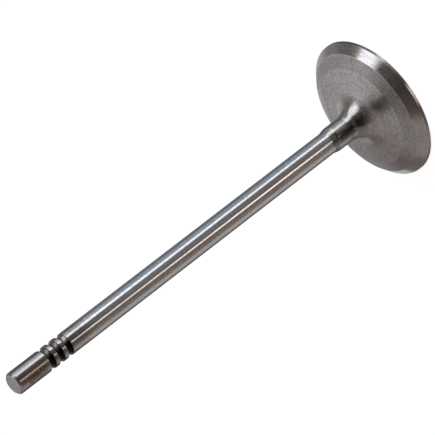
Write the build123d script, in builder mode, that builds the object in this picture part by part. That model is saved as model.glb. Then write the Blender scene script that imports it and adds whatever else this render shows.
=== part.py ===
from build123d import *
import os
from math import radians, tan

# Intake poppet valve of a large engine, turned and ground all over from one steel forging.
# It stands on its combustion face: z = 0 is that face, the axis is +Z, and the tip is at the top.
# Lengths are in millimetres and angles in degrees.

# ---- Driving dimensions: head ----
head_diameter = 51.0
margin_height = 1.1  # plain rim between the combustion face and the seat
face_edge_chamfer = 0.1
seat_angle = 45.0  # from the plane of the combustion face, as are the next two
seat_radial_width = 2.8
back_cut_angle = 23.2
back_cut_radial_width = 4.2
underside_angle = 7.0
seat_edge_radius = 0.6  # rounds the seat into the back cut

# ---- Driving dimensions: neck ----
neck_diameter = 9.0
neck_fillet_radius = 8.3
neck_straight_length = 6.2
neck_taper_length = 2.2  # from the neck down to the ground stem

# ---- Driving dimensions: stem ----
overall_length = 168.3
stem_diameter = 8.0
tip_chamfer = 0.6

# ---- Driving dimensions: keeper grooves ----
groove_count = 3
groove_pitch = 3.85
groove_radius = 1.3
groove_depth = 0.7
groove_edge_radius = 0.15
tip_to_first_groove = 14.4  # from the tip face to the middle of the nearest groove

# ---- Head and neck outline: radii and heights that follow ----
head_radius = head_diameter / 2
neck_radius = neck_diameter / 2
stem_radius = stem_diameter / 2

seat_inner_radius = head_radius - seat_radial_width
seat_top = margin_height + seat_radial_width * tan(radians(seat_angle))
back_cut_inner_radius = seat_inner_radius - back_cut_radial_width
back_cut_top = seat_top + back_cut_radial_width * tan(radians(back_cut_angle))

# The underside cone and the neck would meet in this corner, which the fillet fills.
neck_corner_height = back_cut_top + (back_cut_inner_radius - neck_radius) * tan(radians(underside_angle))
neck_fillet_reach = neck_fillet_radius * tan(radians(90.0 - underside_angle) / 2)
neck_top = neck_corner_height + neck_fillet_reach + neck_straight_length
stem_bottom = neck_top + neck_taper_length

# ---- Keeper grooves: circles that bite into the stem, counted down from the tip ----
groove_centre_radius = stem_radius + groove_radius - groove_depth
groove_half_width = (groove_radius**2 - (groove_radius - groove_depth) ** 2) ** 0.5
groove_heights = [overall_length - tip_to_first_groove - i * groove_pitch for i in range(groove_count)]
groove_edge_heights = [h + side * groove_half_width for h in groove_heights for side in (-1, 1)]

# The valve: half its section, revolved about the stem's axis.
with BuildPart() as valve:
    with BuildSketch(Plane.XZ) as section:
        with BuildLine():
            Polyline(
                (0, 0),
                (head_radius, 0),
                (head_radius, margin_height),
                (seat_inner_radius, seat_top),
                (back_cut_inner_radius, back_cut_top),
                (neck_radius, neck_corner_height),
                (neck_radius, neck_top),
                (stem_radius, stem_bottom),
                (stem_radius, overall_length),
                (0, overall_length),
                close=True,
            )
        make_face()

        # Neck, seat and end edges, each found by the corner where it lies.
        corners = section.vertices()
        fillet(corners.sort_by_distance((neck_radius, neck_corner_height))[0], neck_fillet_radius)
        corners = section.vertices()
        fillet(corners.sort_by_distance((seat_inner_radius, seat_top))[0], seat_edge_radius)
        corners = section.vertices()
        chamfer(corners.sort_by_distance((head_radius, 0))[0], face_edge_chamfer)
        corners = section.vertices()
        chamfer(corners.sort_by_distance((stem_radius, overall_length))[0], tip_chamfer)

        # Keeper grooves, with the edges of the lands between them rounded.
        with Locations(*[(groove_centre_radius, h) for h in groove_heights]):
            Circle(groove_radius, mode=Mode.SUBTRACT)
        corners = section.vertices()
        groove_edges = [corners.sort_by_distance((stem_radius, h))[0] for h in groove_edge_heights]
        fillet(groove_edges, groove_edge_radius)
    revolve(axis=Axis.Z)

valve.part.label = "valve"

os.makedirs("parts", exist_ok=True)
export_step(valve.part, "parts/valve.step")
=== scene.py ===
from math import atan2, ceil, cos, hypot, pi, radians, sin, sqrt, tan

import bmesh
import bpy
from mathutils import Matrix, Vector


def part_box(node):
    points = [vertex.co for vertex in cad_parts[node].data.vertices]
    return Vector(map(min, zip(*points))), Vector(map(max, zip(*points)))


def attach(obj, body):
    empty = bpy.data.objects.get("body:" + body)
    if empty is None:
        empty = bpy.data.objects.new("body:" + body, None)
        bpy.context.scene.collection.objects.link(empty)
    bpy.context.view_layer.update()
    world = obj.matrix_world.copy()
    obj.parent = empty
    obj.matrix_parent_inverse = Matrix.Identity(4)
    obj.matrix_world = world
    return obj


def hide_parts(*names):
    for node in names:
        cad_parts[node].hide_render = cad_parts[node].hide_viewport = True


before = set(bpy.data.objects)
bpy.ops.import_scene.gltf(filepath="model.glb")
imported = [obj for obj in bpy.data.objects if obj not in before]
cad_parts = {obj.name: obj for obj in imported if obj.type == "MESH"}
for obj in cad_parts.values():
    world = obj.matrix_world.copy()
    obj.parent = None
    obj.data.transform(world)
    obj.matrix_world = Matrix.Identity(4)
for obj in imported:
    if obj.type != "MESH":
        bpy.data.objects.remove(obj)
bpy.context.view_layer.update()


# ---- Camera ----
# A long lens, high over one side of the standing valve and rolled far over, so that the valve
# lies across the frame with its head at the top right and its tip at the bottom left.

mm = 0.001
valve_low, valve_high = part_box("valve")
valve_length = valve_high.z - valve_low.z
head_radius = (valve_high.x - valve_low.x) / 2

camera_elevation = radians(29.23)
camera_roll = radians(-127.53)
camera_distance = 1564.8 * mm
camera_offset_right = 6.15 * mm
camera_offset_up = 7.99 * mm
camera_focal_length = 399.8  # a Blender lens is in millimetres, on a sensor 36 wide
camera_sensor_width = 36.0

toward_camera = Vector((cos(camera_elevation), 0, sin(camera_elevation)))
level_right = Vector((0, 1, 0))
level_up = toward_camera.cross(level_right)
camera_right = cos(camera_roll) * level_right + sin(camera_roll) * level_up
camera_up = cos(camera_roll) * level_up - sin(camera_roll) * level_right

valve_middle = Vector((0, 0, valve_length / 2))
camera_place = (
    valve_middle
    + camera_distance * toward_camera
    + camera_offset_right * camera_right
    + camera_offset_up * camera_up
)

lens = bpy.data.cameras.new("camera")
lens.sensor_width = camera_sensor_width
lens.lens = camera_focal_length
camera = bpy.data.objects.new("camera", lens)
camera_turn = Matrix((camera_right, camera_up, toward_camera)).transposed()
camera.matrix_world = Matrix.Translation(camera_place) @ camera_turn.to_4x4()
bpy.context.scene.collection.objects.link(camera)
bpy.context.scene.camera = camera


# ---- Combustion face and rim ----
# The whole valve is one forging of martensitic valve steel. It is laid out from its flat face
# upward, each stretch of the outline with the finish its last tool left, and is turned about its
# axis at the end. The face and the plain rim above it are cut in a lathe.

face_edge_chamfer = 0.1 * mm
rim_height = 1.1 * mm
rim_edge_radius = 0.05 * mm  # what deburring leaves on the corner below the seat
edge_keep = 0.03 * mm

# A finishing tool moves this far along the work in one turn. That is too fine to show in a
# render, so the rings below are drawn two to six feeds apart.
lathe_feed = 0.1 * mm

noise_low, noise_high = 0.35, 0.65  # nearly all of a noise texture lies between these
ring_share = 0.4  # how much of the dulling follows the rings, the rest being handling marks
across_rings = 0.25  # a quarter turn, away from along the rings


def add(tree, kind, links=None, **settings):
    """Adds a node. links gives each input a plain value or another node's output."""
    node = tree.nodes.new(kind)
    for name, value in settings.items():
        setattr(node, name, value)
    for key, value in (links or {}).items():
        if isinstance(value, bpy.types.NodeSocket):
            tree.links.new(value, node.inputs[key])
        else:
            node.inputs[key].default_value = value
    return node


def colour(code):
    """An sRGB hex colour as linear red, green, blue and alpha."""
    shares = [int(code[i : i + 2], 16) / 255 for i in (1, 3, 5)]
    return [s / 12.92 if s <= 0.04045 else ((s + 0.055) / 1.055) ** 2.4 for s in shares] + [1.0]


def straight(start, end):
    """A straight stretch of the outline. A point close to each end keeps its shading flat."""
    run = (end[0] - start[0], end[1] - start[1])
    keep = edge_keep / hypot(*run)
    shares = (0.0, keep, 1.0 - keep, 1.0)
    return [(start[0] + run[0] * t, start[1] + run[1] * t) for t in shares]


def cut_steel(name, roughness, lay, tint, ring_pitch, ring_depth, patch_size=6 * mm):
    """Bare steel with the rings of a lathe or a grinding wheel. roughness is between the rings and
    on them, lay is how far they draw a highlight out across themselves, and tint is the steel's
    colour where it is clean and where it is dull. Gives the material, its tree and its shader."""
    material = bpy.data.materials.new(name)
    material.use_nodes = True
    tree = material.node_tree
    tree.nodes.clear()

    # Every ring lies at one distance along the outline, which height less radius stands for.
    place = add(tree, "ShaderNodeTexCoord").outputs["Object"]
    links = {0: place, 1: (1, 1, 0)}
    flat = add(tree, "ShaderNodeVectorMath", links, operation="MULTIPLY").outputs[0]
    radius = add(tree, "ShaderNodeVectorMath", {0: flat}, operation="LENGTH").outputs["Value"]
    height = add(tree, "ShaderNodeSeparateXYZ", {0: place}).outputs["Z"]
    run = add(tree, "ShaderNodeMath", {0: height, 1: radius}, operation="SUBTRACT").outputs[0]
    ring = add(tree, "ShaderNodeMath", {0: run, 1: 1 / ring_pitch}, operation="MULTIPLY").outputs[0]
    links = {0: flat, 1: (1 / patch_size,) * 3}
    drift = add(tree, "ShaderNodeVectorMath", links, operation="MULTIPLY").outputs[0]
    axis = add(tree, "ShaderNodeCombineXYZ", {"Z": ring}).outputs[0]
    spot = add(tree, "ShaderNodeVectorMath", {0: drift, 1: axis}, operation="ADD").outputs[0]
    links = {"Vector": spot, "Scale": 1.0, "Detail": 2.0}
    rings = add(tree, "ShaderNodeTexNoise", links).outputs["Fac"]

    # Dull and clean patches, as handling and storage leave them on bare steel.
    links = {"Vector": place, "Scale": 1 / patch_size, "Detail": 3.0}
    patches = add(tree, "ShaderNodeTexNoise", links).outputs["Fac"]
    links = {"Factor": ring_share, "A": patches, "B": rings}
    dullness = add(tree, "ShaderNodeMix", links).outputs["Result"]
    clean, dull = [colour(code) for code in tint]
    links = {"Factor": dullness, "A": clean, "B": dull}
    steel = add(tree, "ShaderNodeMix", links, data_type="RGBA").outputs["Result"]

    smooth, rough = roughness
    span = {"From Min": noise_low, "From Max": noise_high}
    grades = {"Value": rings, **span, "To Min": smooth, "To Max": rough}
    relief = add(tree, "ShaderNodeBump", {"Height": rings, "Strength": 1.0, "Distance": ring_depth})
    links = {
        "Base Color": steel,
        "Metallic": 1.0,
        "Roughness": add(tree, "ShaderNodeMapRange", grades).outputs["Result"],
        "Anisotropic": lay,
        "Anisotropic Rotation": across_rings,
        "Tangent": add(tree, "ShaderNodeTangent", direction_type="RADIAL", axis="Z").outputs[0],
        "Normal": relief.outputs[0],
    }
    shader = add(tree, "ShaderNodeBsdfPrincipled", links)
    add(tree, "ShaderNodeOutputMaterial", {"Surface": shader.outputs[0]})
    return material, tree, shader


outline = []
finishes = {}

# Faced: fine rings about the middle, from which a soft sheen fans out as the light moves.
finishes["turned_face"] = cut_steel(
    "turned_face_steel",
    roughness=(0.22, 0.38),
    lay=0.5,
    tint=("#BEBCBA", "#AFACA9"),
    ring_pitch=3.5 * lathe_feed,
    ring_depth=0.002 * mm,
)[0]

# Turned with a sharp tool: a thin line of steel round the head, dark but nearly bright.
finishes["turned_rim"] = cut_steel(
    "turned_rim_steel",
    roughness=(0.10, 0.20),
    lay=0.2,
    tint=("#9B9999", "#918F8E"),
    ring_pitch=2 * lathe_feed,
    ring_depth=0.0005 * mm,
)[0]

face_radius = head_radius - face_edge_chamfer
rim_end = rim_height - rim_edge_radius * tan(pi / 8)
outline.append(("turned_face", straight((0.0, 0.0), (face_radius, 0.0))))
outline.append(("turned_rim", straight((face_radius, 0.0), (head_radius, face_edge_chamfer))))
outline.append(("turned_rim", straight((head_radius, face_edge_chamfer), (head_radius, rim_end))))


# ---- Seat ----
# The 45-degree band that seals against the cylinder head. It is ground last of all, and its fine
# wheel leaves the brightest and most mirror-like band of the head. A small round runs from it
# into the cut behind.

seat_angle = radians(45)
seat_width = 2.8 * mm
seat_edge_radius = 0.6 * mm
back_cut_angle = radians(23.2)
arc_step = radians(4)

wheel_mark = 0.05 * mm  # a wheel's own marks, which are drawn 5 to 8 times as far apart to show
fine_grain = 0.1 * mm  # the real grain, drawn 6 to 8 times as coarse for the same reason

# A painted highlight on the seat's inner edge: its band, the turns it covers, their edges and its
# gain.
painted_glint_band = (0.22 * mm, 0.08 * mm)  # below the seat's inner edge
painted_glint_turns = (radians(12), radians(98))
painted_glint_edges = (radians(12), radians(20))
painted_glint_gain = 1.8


def arc(centre, radius, start, end):
    """Points of a round stretch of the outline, from one angle to the other."""
    steps = max(2, ceil(abs(end - start) / arc_step))
    angles = [start + (end - start) * i / steps for i in range(steps + 1)]
    return [(centre[0] + radius * cos(a), centre[1] + radius * sin(a)) for a in angles]


def brighten(tree, shader, gain):
    """Multiplies a shader's tint. A gain below 1 darkens it."""
    tint = shader.inputs["Base Color"].links[0].from_socket
    links = {0: tint, "Scale": gain}
    scaled = add(tree, "ShaderNodeVectorMath", links, operation="SCALE").outputs[0]
    tree.links.new(scaled, shader.inputs["Base Color"])


def pepper(tree, shader, size, shade, depth):
    """Fine even grain over a finish: it darkens the tint by up to shade, and pits it to depth."""
    place = add(tree, "ShaderNodeTexCoord").outputs["Object"]
    links = {"Vector": place, "Scale": 1 / size, "Detail": 2.0, "Roughness": 0.6}
    grain = add(tree, "ShaderNodeTexNoise", links).outputs["Fac"]
    span = {"From Min": noise_low, "From Max": noise_high}
    links = {"Value": grain, **span, "To Min": 1 - shade, "To Max": 1.0}
    brighten(tree, shader, add(tree, "ShaderNodeMapRange", links).outputs["Result"])
    rings = shader.inputs["Normal"].links[0].from_socket
    links = {"Height": grain, "Normal": rings, "Strength": 1.0, "Distance": depth}
    tree.links.new(add(tree, "ShaderNodeBump", links).outputs[0], shader.inputs["Normal"])


def height_on(tree):
    """A point's height on the standing valve."""
    place = add(tree, "ShaderNodeTexCoord").outputs["Object"]
    return add(tree, "ShaderNodeSeparateXYZ", {0: place}).outputs["Z"]


def turn_round(tree):
    """A point's turn about the valve's axis, in radians from +X."""
    place = add(tree, "ShaderNodeTexCoord").outputs["Object"]
    parts = add(tree, "ShaderNodeSeparateXYZ", {0: place}).outputs
    links = {0: parts["Y"], 1: parts["X"]}
    return add(tree, "ShaderNodeMath", links, operation="ARCTAN2").outputs[0]


def fade(tree, value, start, end):
    """0 before start and 1 past end, with a smooth rise between, or a fall if end comes first."""
    links = {"Value": value, "From Min": start, "From Max": end}
    return add(tree, "ShaderNodeMapRange", links, interpolation_type="SMOOTHSTEP").outputs["Result"]


def window(tree, value, span, edges):
    """1 inside a span and 0 outside it, with a smooth edge of its own width at each end."""
    (low, high), (foot, head) = span, edges
    rise = fade(tree, value, low - foot / 2, low + foot / 2)
    fall = fade(tree, value, high + head / 2, high - head / 2)
    return add(tree, "ShaderNodeMath", {0: rise, 1: fall}, operation="MULTIPLY").outputs[0]


seat_inner_radius = head_radius - seat_width
seat_top = rim_height + seat_width * tan(seat_angle)

# Ground: the smoothest band of the head, which mirrors the lights softly along its rings.
finishes["ground_seat"], tree, shader = cut_steel(
    "ground_seat_steel",
    roughness=(0.09, 0.27),
    lay=0.4,
    tint=("#DEDCDC", "#C2C0BF"),
    ring_pitch=8 * wheel_mark,
    ring_depth=0.0008 * mm,
)
pepper(tree, shader, size=7 * fine_grain, shade=0.22, depth=0.0005 * mm)

# The seat's inner edge is painted brighter along one side: a painted highlight, a glint of the
# light on that edge. The seat's inner edge is drawn brighter along one side, as if the wheel had
# burnished it there. That is a guess, and its tint is past what real steel gives back.
line = fade(tree, height_on(tree), seat_top - painted_glint_band[0], seat_top - painted_glint_band[1])
beside = window(tree, turn_round(tree), painted_glint_turns, painted_glint_edges)
painted_glint = add(tree, "ShaderNodeMath", {0: line, 1: beside}, operation="MULTIPLY").outputs[0]
links = {"Value": painted_glint, "To Min": 1.0, "To Max": painted_glint_gain}
brighten(tree, shader, add(tree, "ShaderNodeMapRange", links).outputs["Result"])

edge_reach = seat_edge_radius * tan((seat_angle - back_cut_angle) / 2)
edge_start = (
    seat_inner_radius + edge_reach * cos(seat_angle),
    seat_top - edge_reach * sin(seat_angle),
)
edge_centre = (
    edge_start[0] - seat_edge_radius * sin(seat_angle),
    edge_start[1] - seat_edge_radius * cos(seat_angle),
)
seat_edge = arc(edge_centre, seat_edge_radius, pi / 2 - seat_angle, pi / 2 - back_cut_angle)
rim_edge = arc((head_radius - rim_edge_radius, rim_end), rim_edge_radius, 0, seat_angle)
outline.append(("ground_seat", rim_edge))
outline.append(("ground_seat", straight(rim_edge[-1], seat_edge[0])))
outline.append(("ground_seat", seat_edge))


# ---- Back cut and underside ----
# Behind the seat the head is turned at 23 degrees and then at 7 degrees up to the neck, and is
# left with the satin grey and the fine grain of a turned and lightly peened forging.

back_cut_width = 4.2 * mm
underside_angle = radians(7)
neck_radius = 4.5 * mm
neck_fillet_radius = 8.3 * mm

# Turned and peened: a dull even grey, on which the rings only just show.
finishes["turned_back_cut"], tree, shader = cut_steel(
    "turned_back_cut_steel",
    roughness=(0.30, 0.40),
    lay=0.5,
    tint=("#CFCFD2", "#BEB7B5"),
    ring_pitch=6 * lathe_feed,
    ring_depth=0.0022 * mm,
)
pepper(tree, shader, size=8 * fine_grain, shade=0.32, depth=0.006 * mm)

# The same, with a finer last cut: a paler satin that takes up a broad soft light.
finishes["satin_underside"], tree, shader = cut_steel(
    "satin_underside_steel",
    roughness=(0.24, 0.36),
    lay=0.5,
    tint=("#DDDCDE", "#CBC5C2"),
    ring_pitch=6 * lathe_feed,
    ring_depth=0.0016 * mm,
)
pepper(tree, shader, size=8 * fine_grain, shade=0.34, depth=0.008 * mm)

back_cut_inner_radius = seat_inner_radius - back_cut_width
back_cut_top = seat_top + back_cut_width * tan(back_cut_angle)
neck_corner_height = back_cut_top + (back_cut_inner_radius - neck_radius) * tan(underside_angle)
fillet_reach = neck_fillet_radius * tan((pi / 2 - underside_angle) / 2)
fillet_centre = (neck_radius + neck_fillet_radius, neck_corner_height + fillet_reach)
neck_fillet = arc(fillet_centre, neck_fillet_radius, 1.5 * pi - underside_angle, pi)
outline.append(("turned_back_cut", straight(seat_edge[-1], (back_cut_inner_radius, back_cut_top))))
outline.append(("satin_underside", straight((back_cut_inner_radius, back_cut_top), neck_fillet[0])))


# ---- Neck ----
# A generous round and a short thicker length join the head to the stem. They are turned and
# belt-polished but not plated. The polish is softer than the stem's, and it runs out into the
# satin of the underside low on the round.

neck_straight = 6.2 * mm
neck_taper = 2.2 * mm
neck_edge_radius = 7.0 * mm
stem_radius = 4.0 * mm

polish_run_out = (8.0 * mm, 12.5 * mm)  # heights over which the satin turns into polish
neck_roughness = 0.19
taper_run_out = (20.6 * mm, 21.4 * mm)
taper_roughness = 0.13
polished_tint = "#B3B2AE"


def lay_over(tree, shader, cover, value):
    """Moves a shader's tint, or its roughness where value is a number, towards value by cover."""
    is_colour = isinstance(value, list)
    socket = shader.inputs["Base Color" if is_colour else "Roughness"]
    links = {"Factor": cover, "A": socket.links[0].from_socket, "B": value}
    mix = add(tree, "ShaderNodeMix", links, data_type="RGBA" if is_colour else "FLOAT")
    tree.links.new(mix.outputs["Result"], socket)


# Belt-polished over the turned satin: a warm dark mirror with soft edges to what it shows.
finishes["polished_neck"], tree, shader = cut_steel(
    "satin_to_polished_neck_steel",
    roughness=(0.24, 0.36),
    lay=0.5,
    tint=("#DDDCDE", "#CBC5C2"),
    ring_pitch=6 * lathe_feed,
    ring_depth=0.0,
)
pepper(tree, shader, size=8 * fine_grain, shade=0.34, depth=0.002 * mm)
height = height_on(tree)
polish = fade(tree, height, *polish_run_out)
lay_over(tree, shader, polish, neck_roughness)
lay_over(tree, shader, fade(tree, height, *taper_run_out), taper_roughness)
lay_over(tree, shader, polish, colour(polished_tint))

neck_top = neck_fillet[-1][1] + neck_straight
stem_bottom = neck_top + neck_taper
taper_angle = atan2(neck_radius - stem_radius, neck_taper)
neck_edge_start = neck_top - neck_edge_radius * tan(taper_angle / 2)
neck_edge = arc((neck_radius - neck_edge_radius, neck_edge_start), neck_edge_radius, 0, taper_angle)
outline.append(("polished_neck", neck_fillet))
outline.append(("polished_neck", straight(neck_fillet[-1], neck_edge[0])))
outline.append(("polished_neck", neck_edge))
outline.append(("polished_neck", straight(neck_edge[-1], (stem_radius, stem_bottom))))


# ---- Stem and keeper grooves ----
# The stem is hard-chromed and centreless ground, which leaves long clean reflections down its
# length. Three round grooves near the tip take the split keepers that hold the spring. A form
# tool cuts them and nothing polishes them. They are a duller grey, and painted shade darkens one
# side.

groove_count = 3
groove_pitch = 3.85 * mm
groove_radius = 1.3 * mm
groove_depth = 0.7 * mm
groove_edge_radius = 0.15 * mm
tip_to_first_groove = 14.4 * mm

# Painted shade over the end of the chrome by the grooves.
stem_end_shade_heights = (134.5 * mm, 140 * mm)  # where the painted shade begins and where it is whole
stem_end_shade_cover = 0.3
stem_end_shade_tint = "#5A4B42"

# Painted shade in the grooves: the turns and heights it covers, its edges and its near-black tint.
groove_shade_turns = (radians(-78), radians(5))
groove_shade_edges = (radians(36), radians(10))
groove_shade_reach_turns = (radians(-30), radians(58))
groove_shade_reach_edges = (radians(20), radians(16))
groove_shade_reach_heights = (147 * mm, 150 * mm)
groove_shade_reach_cover = 0.5
groove_shade_tint = "#231E1B"

# Hard chrome, ground: a cool near-mirror, with just enough grain to keep its lines from being hard.
finishes["ground_stem"], tree, shader = cut_steel(
    "ground_chrome_stem",
    roughness=(0.04, 0.09),
    lay=0.0,
    tint=("#D3D4D2", "#CBCBC9"),
    ring_pitch=5 * wheel_mark,
    ring_depth=0.0,
)
pepper(tree, shader, size=8 * fine_grain, shade=0.26, depth=0.0)

# Painted shade: the end of the chrome by the grooves is painted darker and browner, for the darker
# surroundings it mirrors there.
stem_end_shade = fade(tree, height_on(tree), *stem_end_shade_heights)
stem_end_shade_share = add(tree, "ShaderNodeMath", {0: stem_end_shade, 1: stem_end_shade_cover}, operation="MULTIPLY").outputs[0]
lay_over(tree, shader, stem_end_shade_share, colour(stem_end_shade_tint))

# Formed and rubbed by the keepers: narrow bright bands, browner and less even than the chrome.
finishes["formed_land"] = cut_steel(
    "formed_land_steel",
    roughness=(0.08, 0.22),
    lay=0.0,
    tint=("#B3AEAA", "#908883"),
    ring_pitch=3 * lathe_feed,
    ring_depth=0.0005 * mm,
    patch_size=2 * mm,
)[0]

# Formed and never rubbed: a deeper, duller grey, with painted shade laid over it below.
finishes["dark_groove"], tree, shader = cut_steel(
    "formed_groove_steel_painted_shade",
    roughness=(0.14, 0.28),
    lay=0.2,
    tint=("#B2AEAC", "#8A8582"),
    ring_pitch=2.5 * lathe_feed,
    ring_depth=0.001 * mm,
    patch_size=2 * mm,
)

# Painted shade: one side of the grooves is painted near black, where shade falls in them, and a
# fainter band of it reaches on round the upper two.
turn = turn_round(tree)
groove_shade = window(tree, turn, groove_shade_turns, groove_shade_edges)
reach = window(tree, turn, groove_shade_reach_turns, groove_shade_reach_edges)
upper = fade(tree, height_on(tree), *groove_shade_reach_heights)
reach = add(tree, "ShaderNodeMath", {0: reach, 1: upper}, operation="MULTIPLY").outputs[0]
reach = add(tree, "ShaderNodeMath", {0: reach, 1: groove_shade_reach_cover}, operation="MULTIPLY").outputs[0]
groove_shade = add(tree, "ShaderNodeMath", {0: groove_shade, 1: reach}, operation="MAXIMUM").outputs[0]
lay_over(tree, shader, groove_shade, colour(groove_shade_tint))

# The small round on a groove's edge touches the stem and the groove's own circle.
groove_centre_radius = stem_radius + groove_radius - groove_depth
lip_centre_radius = stem_radius - groove_edge_radius
lip_gap = groove_centre_radius - lip_centre_radius
lip_reach = sqrt((groove_radius + groove_edge_radius) ** 2 - lip_gap**2)
lip_turn = atan2(lip_reach, lip_gap)

land_start = stem_bottom
land_finish = "ground_stem"
for i in reversed(range(groove_count)):
    middle = valve_length - tip_to_first_groove - i * groove_pitch
    lower_lip = (lip_centre_radius, middle - lip_reach)
    upper_lip = (lip_centre_radius, middle + lip_reach)
    groove = arc((groove_centre_radius, middle), groove_radius, pi + lip_turn, pi - lip_turn)
    outline.append((land_finish, straight((stem_radius, land_start), (stem_radius, lower_lip[1]))))
    land_finish = "formed_land"
    outline.append((land_finish, arc(lower_lip, groove_edge_radius, 0, lip_turn)))
    outline.append(("dark_groove", groove))
    outline.append((land_finish, arc(upper_lip, groove_edge_radius, -lip_turn, 0)))
    land_start = upper_lip[1]


# ---- Tip ----
# Above the grooves the stem is hardened and left bare, so it is duller and browner than the
# chromed length, and its end is ground flat with a small turned chamfer.

tip_chamfer = 0.6 * mm

etch_heights = (156.7 * mm, 164.8 * mm)
etch_height_edges = (0.8 * mm, 0.8 * mm)
etch_turns = (radians(-62), radians(-16))
etch_turn_edges = (radians(8), radians(8))
etch_speck = 0.6 * mm  # about three times as coarse as a real etch, to show in a render
etch_levels = (0.40, 0.60)  # of the noise, where a speck begins and where it is whole
etch_tint = "#765444"
etch_roughness = 0.4

# Ground and induction hardened: a brownish mirror with a soft edge to its lines.
finishes["hardened_tip"], tree, shader = cut_steel(
    "hardened_tip_steel",
    roughness=(0.10, 0.20),
    lay=0.0,
    tint=("#A8A5A4", "#918A86"),
    ring_pitch=6 * wheel_mark,
    ring_depth=0.0,
    patch_size=3 * mm,
)

# A patch of plain etched speckle on one side, rusty and with no marks to read.
place = add(tree, "ShaderNodeTexCoord").outputs["Object"]
around = window(tree, turn_round(tree), etch_turns, etch_turn_edges)
along_stem = window(tree, height_on(tree), etch_heights, etch_height_edges)
patch = add(tree, "ShaderNodeMath", {0: around, 1: along_stem}, operation="MULTIPLY").outputs[0]
links = {"Vector": place, "Scale": 1 / etch_speck, "Detail": 2.0}
specks = fade(tree, add(tree, "ShaderNodeTexNoise", links).outputs["Fac"], *etch_levels)
etched = add(tree, "ShaderNodeMath", {0: patch, 1: specks}, operation="MULTIPLY").outputs[0]
lay_over(tree, shader, etched, colour(etch_tint))
lay_over(tree, shader, etched, etch_roughness)

# Turned: a thin pale ring between the stem's side and its end.
finishes["tip_chamfer"] = cut_steel(
    "turned_chamfer_steel",
    roughness=(0.20, 0.30),
    lay=0.2,
    tint=("#C8C5C4", "#B4AFAC"),
    ring_pitch=3 * lathe_feed,
    ring_depth=0.001 * mm,
    patch_size=2 * mm,
)[0]

# Ground flat on the side of a wheel: an even pale grey without a reflection to it.
finishes["ground_tip_end"], tree, shader = cut_steel(
    "ground_tip_end_steel",
    roughness=(0.30, 0.45),
    lay=0.3,
    tint=("#DCDDDE", "#C4C3C4"),
    ring_pitch=8 * wheel_mark,
    ring_depth=0.003 * mm,
    patch_size=3 * mm,
)
pepper(tree, shader, size=6 * fine_grain, shade=0.18, depth=0.005 * mm)

tip_edge = valve_length - tip_chamfer
tip_end_radius = stem_radius - tip_chamfer
outline.append(("hardened_tip", straight((stem_radius, land_start), (stem_radius, tip_edge))))
outline.append(("tip_chamfer", straight((stem_radius, tip_edge), (tip_end_radius, valve_length))))
outline.append(("ground_tip_end", straight((tip_end_radius, valve_length), (0.0, valve_length))))


# ---- The valve, turned ----
# One solid of steel, with nothing fixed to it. The whole outline above is turned about its axis,
# and each stretch keeps its own finish.

lathe_sides = 256
sharp_turn = radians(12)
axis_radius = 0.001 * mm


def ring(work, radius, height):
    """One ring of vertices about the axis, or a single one on it."""
    if radius < axis_radius:
        return [work.verts.new((0, 0, height))] * lathe_sides
    turns = [2 * pi * k / lathe_sides for k in range(lathe_sides)]
    return [work.verts.new((radius * cos(a), radius * sin(a), height)) for a in turns]


def lathe(name, stretches):
    """Turns the outline about Z into one mesh, with sharp edges where the outline has corners."""
    mesh = bpy.data.meshes.new(name)
    names = list(dict.fromkeys(finish for finish, _ in stretches))
    for finish in names:
        mesh.materials.append(finishes[finish])
    work = bmesh.new()
    lower = ring(work, *stretches[0][1][0])
    for finish, points in stretches:
        for point in points[1:]:
            upper = ring(work, *point)
            for k in range(lathe_sides):
                n = (k + 1) % lathe_sides
                corners = dict.fromkeys((lower[k], lower[n], upper[n], upper[k]))
                side = work.faces.new(tuple(corners))
                side.material_index = names.index(finish)
                side.smooth = True
            lower = upper
    work.normal_update()
    for edge in work.edges:
        edge.smooth = edge.calc_face_angle() < sharp_turn
    work.to_mesh(mesh)
    work.free()
    piece = bpy.data.objects.new(name, mesh)
    bpy.context.scene.collection.objects.link(piece)
    return piece


valve = lathe("engine_valve", outline)
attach(valve, "root")
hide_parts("valve")


# ---- Floor and lamp ----
# A plain matt white floor, which the camera sees as white with a soft shadow, under one broad
# soft lamp. It is clear from below, so that the face the valve stands on can be looked at. Floor
# and lamp are both hidden from mirrored rays, so the steel shows neither.

floor_half_width = 4.0
floor_drop = 0.05 * mm  # keeps it off the combustion face
floor_paint = "#B0B0B0"
floor_glow = 0.82  # for the camera alone, to bring the paint up to white

lamp_place = Vector((0.1, 0.15, 1.4))
lamp_size = 1.0
lamp_power = 4.0

corners = ((-1, -1), (1, -1), (1, 1), (-1, 1))
floor_corners = [(x * floor_half_width, y * floor_half_width, -floor_drop) for x, y in corners]
floor_mesh = bpy.data.meshes.new("floor")
floor_mesh.from_pydata(floor_corners, [], [(0, 1, 2, 3)])
floor = bpy.data.objects.new("floor", floor_mesh)
bpy.context.scene.collection.objects.link(floor)
floor.visible_glossy = False

floor_material = bpy.data.materials.new("matt_white_floor")
floor_material.use_nodes = True
tree = floor_material.node_tree
tree.nodes.clear()
path = add(tree, "ShaderNodeLightPath").outputs["Is Camera Ray"]
below = add(tree, "ShaderNodeNewGeometry").outputs["Backfacing"]
matt = add(tree, "ShaderNodeBsdfDiffuse", {"Color": colour(floor_paint)}).outputs[0]
links = {"Color": colour("#FFFFFF"), "Strength": floor_glow}
lit = add(tree, "ShaderNodeEmission", links).outputs[0]
white = add(tree, "ShaderNodeAddShader", {0: matt, 1: lit}).outputs[0]
seen = add(tree, "ShaderNodeMixShader", {0: path, 1: matt, 2: white}).outputs[0]
clear = add(tree, "ShaderNodeBsdfTransparent").outputs[0]
sides = add(tree, "ShaderNodeMixShader", {0: below, 1: seen, 2: clear}).outputs[0]
add(tree, "ShaderNodeOutputMaterial", {"Surface": sides})
floor_mesh.materials.append(floor_material)

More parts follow.
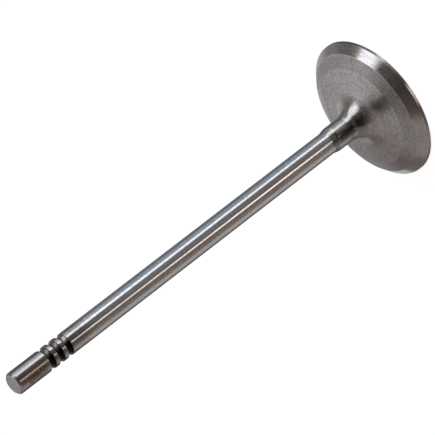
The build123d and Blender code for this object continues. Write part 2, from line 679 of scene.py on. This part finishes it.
lamp_light = bpy.data.lights.new("overhead_lamp", "AREA")
lamp_light.shape = "SQUARE"
lamp_light.size = lamp_size
lamp_light.energy = lamp_power
lamp = bpy.data.objects.new("overhead_lamp", lamp_light)
lamp.location = lamp_place
lamp.rotation_euler = (lamp_place - valve_middle).to_track_quat("Z", "Y").to_euler()
lamp.visible_glossy = False
bpy.context.scene.collection.objects.link(lamp)


# ---- Black card ----
# A curved strip of matt black card with feathered ends lies on the floor beside the head. Only
# the polished neck is placed to mirror it, as a soft dark patch at its foot. The camera doesn't
# see the card, and it casts no shadow.

card_radii = (28.5 * mm, 43 * mm)
card_turns = (radians(-115), radians(28))
card_full = (radians(-64), radians(5))  # where each end is half faded
card_feather = (radians(80), radians(32))
card_steps = 36
card_black = "#302C2A"

card_points = []
for i in range(card_steps + 1):
    turn = card_turns[0] + (card_turns[1] - card_turns[0]) * i / card_steps
    card_points += [(r * cos(turn), r * sin(turn), 0) for r in card_radii]
card_faces = [(2 * i, 2 * i + 1, 2 * i + 3, 2 * i + 2) for i in range(card_steps)]
card_mesh = bpy.data.meshes.new("black_card")
card_mesh.from_pydata(card_points, [], card_faces)

card_material = bpy.data.materials.new("matt_black_card")
card_material.use_nodes = True
tree = card_material.node_tree
tree.nodes.clear()
cover = window(tree, turn_round(tree), card_full, card_feather)
paper = add(tree, "ShaderNodeBsdfDiffuse", {"Color": colour(card_black)}).outputs[0]
clear = add(tree, "ShaderNodeBsdfTransparent").outputs[0]
card = add(tree, "ShaderNodeMixShader", {0: cover, 1: clear, 2: paper}).outputs[0]
add(tree, "ShaderNodeOutputMaterial", {"Surface": card})
card_mesh.materials.append(card_material)

black_card = bpy.data.objects.new("black_card", card_mesh)
black_card.visible_camera = False
black_card.visible_diffuse = False
black_card.visible_shadow = False
bpy.context.scene.collection.objects.link(black_card)


# ---- Studio ----
# What bright steel mirrors is most of its look. The camera sees plain white, but the steel doesn't
# mirror that white: it sees a grey room, darkest round the camera, with soft boxes and gauzes
# placed for this camera. They stay where they are in the world when the camera moves.

world = bpy.data.worlds.new("studio")
bpy.context.scene.world = world
world.use_nodes = True
world.cycles.sampling_method = "NONE"  # the steel's mirrored rays find the panels by themselves
tree = world.node_tree
tree.nodes.clear()
gaze = add(tree, "ShaderNodeTexCoord").outputs["Generated"]

# Bearings are in degrees about the line from the valve to the camera, from the frame's right
# towards its top. They run from first_bearing all the way round, so no panel may cross that one.
first_bearing = -50
half_turn = radians(first_bearing + 180)
zero_axis = cos(half_turn) * camera_right + sin(half_turn) * camera_up
quarter_axis = cos(half_turn) * camera_up - sin(half_turn) * camera_right

# Heights are cosines of the angle from one of these axes. They run from -1 to 1, so a panel that
# ends well past that has no foot or no head.
long_highlight_tilt = 0.18
view = toward_camera
tilted = toward_camera + long_highlight_tilt * camera_right
upward = Vector((0, 0, 1))


def along(axis):
    """How far a direction leans along an axis of the studio."""
    links = {0: gaze, 1: axis}
    return add(tree, "ShaderNodeVectorMath", links, operation="DOT_PRODUCT").outputs["Value"]


links = {0: along(quarter_axis), 1: along(zero_axis)}
bearing = add(tree, "ShaderNodeMath", links, operation="ARCTAN2").outputs[0]


def hang(under, name, bearings, heights, edges, code, strength, axis):
    """Hangs a panel before what is under it, between two bearings and two heights. edges are the
    widths over which it fades: in degrees at its sides, and in height at its foot and its head. A
    soft box adds its light. A gauze has no strength and lets through its own colour's share."""
    side, foot, head = edges
    width = window(tree, bearing, [radians(b) - half_turn for b in bearings], [radians(side)] * 2)
    tall = window(tree, along(axis), heights, (foot, head))
    shape = add(tree, "ShaderNodeMath", {0: width, 1: tall}, operation="MULTIPLY").outputs[0]
    if strength is None:
        blend, cloth = "MULTIPLY", colour(code)
    else:
        blend, cloth = "ADD", [strength * share for share in colour(code)[:3]] + [1.0]
    links = {"Factor": shape, "A": under, "B": cloth}
    mix = add(tree, "ShaderNodeMix", links, data_type="RGBA", blend_type=blend, label=name)
    return mix.outputs["Result"]


# The room's colours, by height on the view's axis, from behind the valve to the camera.
room_colours = [
    (-1.0, "#403E3D"),
    (-0.96, "#525050"),
    (-0.86, "#6E6C6B"),
    (-0.75, "#797674"),
    (-0.5, "#8A8584"),
    (0.0, "#8C8584"),
    (0.35, "#7F7976"),
    (0.54, "#7D7772"),
    (0.63, "#40382F"),
    (0.80, "#332C27"),
    (1.0, "#241D18"),
]
links = {"Value": along(view), "From Min": -1.0, "From Max": 1.0}
place = add(tree, "ShaderNodeMapRange", links).outputs["Result"]
room = add(tree, "ShaderNodeValToRGB", {"Fac": place})
ramp = room.color_ramp
while len(ramp.elements) < len(room_colours):
    ramp.elements.new(0.5)
for element, (place, code) in zip(ramp.elements, room_colours):
    element.position = (place + 1) / 2
    element.color = colour(code)

# Each panel is placed and tinted for one stretch of the valve as this camera sees it, and is named
# for that stretch. The faint ones only trim its tone. Front is the side towards the camera. Left
# and right are as in the frame, so that left is the +Y side. A gauze dims only what comes before
# it in the list.
panels = [
    # name, bearings, heights, edges, colour, strength, axis
    ("neck to tip, right", (-36, 32), (-2.0, 2.0), (12, 0.10, 0.10), "#FFF8F2", None, view),
    ("seat, left", (150, 176), (-0.32, 0.10), (10, 0.20, 0.20), "#DADADA", None, view),
    ("underside, right", (218, 282), (-0.62, -0.34), (22, 0.14, 0.14), "#E4DAD5", None, view),
    ("underside, left", (180, 216), (-0.80, -0.44), (16, 0.14, 0.14), "#EEEEEE", None, view),
    ("foot of the round, front", (208, 228), (0.40, 0.62), (12, 0.12, 0.12), "#C8C8C8", None, view),
    ("head of the round, front", (-14, 24), (0.53, 0.84), (14, 0.10, 0.12), "#AAAAAA", None, view),
    ("head of the round, left", (101, 124), (-0.22, 0.24), (12, 0.16, 0.16), "#DADADA", None, view),
    ("lands, front", (-12, 74), (-0.457, -0.35), (16, 0.003, 0.1), "#C4C4C4", None, upward),
    # The main soft box, which draws the long highlight from the seat to the tip, and its wings.
    ("long highlight", (77, 171.5), (0.088, 0.535), (8, 0.14, 0.14), "#F6F9FF", 1.5, tilted),
    ("round, front wing", (114, 158), (0.535, 0.72), (16, 0.14, 0.14), "#F6F9FF", 1.5, tilted),
    ("round, back wing", (126, 152), (-0.07, 0.09), (10, 0.14, 0.14), "#F6F9FF", 1.7, tilted),
    ("head of the round, wing", (84, 112), (0.52, 0.68), (16, 0.10, 0.16), "#F6F9FF", 0.7, view),
    ("round, front", (60, 186), (0.72, 1.20), (16, 0.14, 0.20), "#FFF8F4", 0.05, view),
    # Mostly faint fills, which trim the tone of the taper, the stem, the neck and the head.
    ("taper", (-10, 86), (-0.19, -0.05), (16, 0.05, 0.03), "#F0F2FF", 0.09, upward),
    ("taper, front", (4, 62), (-0.21, -0.05), (14, 0.05, 0.03), "#F0F2FF", 0.05, upward),
    ("lower stem, front", (40, 66), (-0.507, -0.478), (14, 0.008, 0.02), "#D4ACFF", 0.04, upward),
    ("upper stem, front", (46, 71), (-0.490, -0.4565), (12, 0.024, 0.004), "#ACD4FF", 0.09, upward),
    ("stem, right", (-15, -2), (-0.5146, -0.452), (12, 0.002, 0.002), "#FFE6DC", 0.05, upward),
    ("stem, left", (76, 130), (-0.5146, -0.456), (16, 0.002, 0.004), "#00C8FF", 0.06, upward),
    ("neck, front left", (60, 81), (-0.70, -0.5146), (10, 0.10, 0.002), "#F6F9FF", 0.40, upward),
    ("neck, left", (96, 112), (-0.70, -0.5146), (10, 0.10, 0.002), "#DCDCDC", None, upward),
    ("seat's highlight", (148, 170), (0.42, 0.60), (10, 0.10, 0.08), "#F6F9FF", 0.35, view),
    ("back cut, far right", (222, 249), (-2.0, -0.76), (12, 0.08, 0.16), "#FFFFFF", 0.30, view),
    # A cool fill beside the long highlight, and the highlight's own end on lands and tip.
    ("rim to tip, left", (80, 125), (-0.35, 0.06), (16, 0.30, 0.30), "#C8DAFF", 0.33, view),
    ("lands and tip, left", (80, 106), (-0.451, -0.38), (6, 0.004, 0.06), "#F0F4FF", 1.3, upward),
    # Large pale boxes that the satin of the head takes up, and what shades them.
    ("head, front and left", (182, 219), (-2.0, 0.30), (14, 0.30, 0.30), "#FCFAFD", 0.32, view),
    ("back cut, right", (224, 252), (-0.30, 0.34), (14, 0.20, 0.20), "#FAF6F6", 0.14, view),
    ("underside, front", (198, 220), (-0.40, -0.16), (12, 0.14, 0.14), "#FCFAFD", 0.08, view),
    ("back cut, front left", (190, 203), (0.0, 0.20), (10, 0.12, 0.12), "#FCFAFD", 0.30, view),
    ("seat, far left", (150, 174), (-0.82, -0.46), (10, 0.14, 0.14), "#F0F6FF", 0.05, view),
    ("foot of the round, shade", (206, 227), (0.0, 0.27), (14, 0.20, 0.12), "#B8B8B8", None, view),
    ("seat, right", (262, 284), (-0.35, 0.68), (12, 0.20, 0.20), "#FFF4F0", 0.07, view),
    ("head, far left", (145, 215), (-2.0, -0.80), (16, 0.08, 0.30), "#FFFFFF", 0.38, view),
    ("back cut, far left", (178, 206), (-0.96, -0.58), (16, 0.10, 0.16), "#E8E8E8", None, view),
    ("seat, far right", (252, 276), (-2.0, -0.85), (12, 0.08, 0.10), "#FFFFFF", 0.48, view),
    ("pale band, right", (-40, -18), (-0.60, 0.0), (12, 0.40, 0.40), "#FFFFFF", 0.31, view),
    ("seat, front", (180, 288), (0.30, 0.90), (20, 0.20, 0.20), "#FFF0E6", 0.06, view),
    # A warm strip lamp, which draws the thin line down the stem and the glint on the rim.
    ("warm line", (15, 28), (-0.5126, -0.43), (6, 0.003, 0.03), "#FFEEE8", 1.18, upward),
    ("warm line, stem", (16, 27), (-0.5126, -0.485), (6, 0.003, 0.03), "#FFEEE8", 0.66, upward),
    ("warm line, tip", (16, 27), (-0.451, -0.42), (6, 0.004, 0.02), "#FFE8D8", 0.6, upward),
    ("rim's glint", (6, 34), (-0.56, -0.5245), (14, 0.01, 0.002), "#FFF0E0", 2.4, upward),
]
glow = room.outputs["Color"]
for panel in panels:
    glow = hang(glow, *panel)

mirrored = add(tree, "ShaderNodeBackground", {"Color": glow}).outputs[0]
plain = add(tree, "ShaderNodeBackground", {"Color": colour("#FFFFFF")}).outputs[0]
path = add(tree, "ShaderNodeLightPath").outputs
rays = {0: path["Is Camera Ray"], 1: path["Is Transmission Ray"]}
direct = add(tree, "ShaderNodeMath", rays, operation="MAXIMUM").outputs[0]
shown = add(tree, "ShaderNodeMixShader", {0: direct, 1: mirrored, 2: plain}).outputs[0]
add(tree, "ShaderNodeOutputWorld", {"Surface": shown})

bpy.context.scene.view_settings.view_transform = "Standard"
